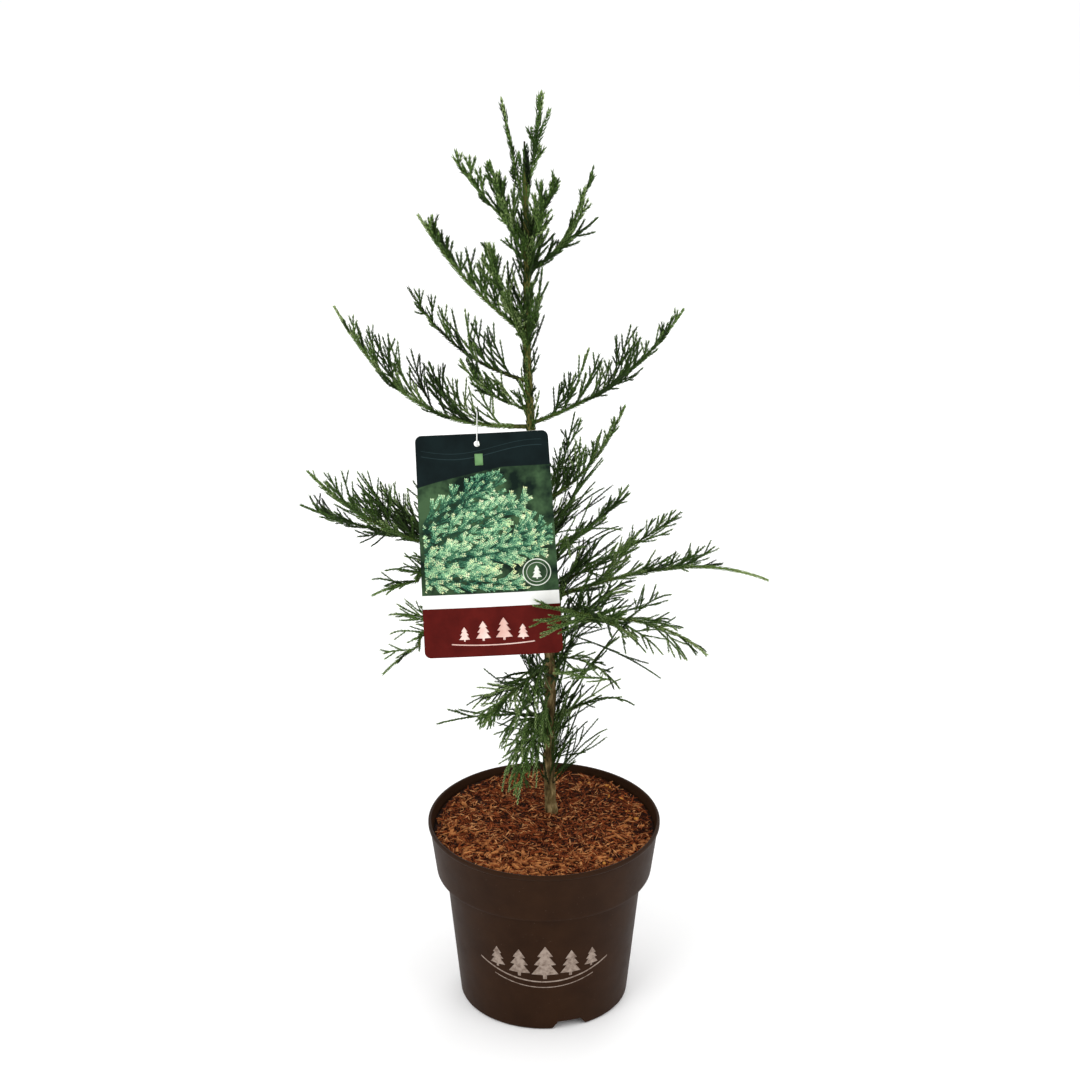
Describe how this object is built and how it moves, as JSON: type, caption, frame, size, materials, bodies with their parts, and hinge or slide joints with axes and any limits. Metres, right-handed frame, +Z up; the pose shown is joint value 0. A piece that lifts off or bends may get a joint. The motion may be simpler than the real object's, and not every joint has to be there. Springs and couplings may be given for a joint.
{
  "type": "potted young giant sequoia tree",
  "caption": "Young giant sequoia about a metre tall in a brown nursery pot: slim leaning trunk, upswept boughs, open fans of cord-like green sprays, bark mulch and a hang tag.",
  "frame": {"origin": "middle of the pot's flat underside", "axes": "+Z up along the height, +X to the right and -Y towards the side the hang tag faces"},
  "size_m": [0.4982, 0.307, 1.0218],
  "materials": {
    "pot": "satin",
    "mulch": "rough fibres",
    "bark": "flaky",
    "limb": "matte",
    "foliage": "matte",
    "card": "smooth",
    "loop": "smooth"
  },
  "bodies": {
    "root": {"pot": "pot", "bark_mulch": "mulch", "trunk": "bark", "bough_high_left": "limb", "bough_fork_left": "limb", "bough_great_left": "limb", "bough_great_right": "limb", "bough_rising_right": "limb", "bough_upper_back": "limb", "bough_wide_left": "limb", "bough_level_left": "limb", "bough_mid_right": "limb", "bough_mid_back": "limb", "bough_level_right": "limb", "bough_long_right": "limb", "bough_low_left": "limb", "bough_front_right": "limb", "bough_low_right": "limb", "bough_low_back": "limb", "bough_droop_left": "limb", "bough_sweep_front": "limb", "foliage_leader": "foliage", "foliage_top_left": "foliage", "foliage_crown_left": "foliage", "foliage_crown_front": "foliage", "foliage_crown_right": "foliage", "foliage_crown_inner": "foliage", "foliage_crown_back": "foliage", "foliage_high_left": "foliage", "foliage_high_inner": "foliage", "foliage_high_front": "foliage", "foliage_high_back": "foliage", "foliage_fork_left": "foliage", "foliage_inner_left": "foliage", "foliage_great_left": "foliage", "foliage_great_right": "foliage", "foliage_rising_right": "foliage", "foliage_rising_back": "foliage", "foliage_upper_back": "foliage", "foliage_wide_left": "foliage", "foliage_level_left": "foliage", "foliage_mid_right": "foliage", "foliage_mid_back": "foliage", "foliage_level_right": "foliage", "foliage_long_right": "foliage", "foliage_low_left": "foliage", "foliage_front_right": "foliage", "foliage_low_right": "foliage", "foliage_low_back": "foliage", "foliage_droop_left": "foliage", "foliage_droop_back": "foliage", "foliage_droop_front": "foliage", "foliage_sweep_front": "foliage", "foliage_base_back": "foliage", "foliage_base_rise": "foliage", "foliage_base_front": "foliage", "foliage_base_left": "foliage", "foliage_base_right": "foliage", "hang_tag": "card", "tag_loop": "loop"}
  },
  "joints": []
}
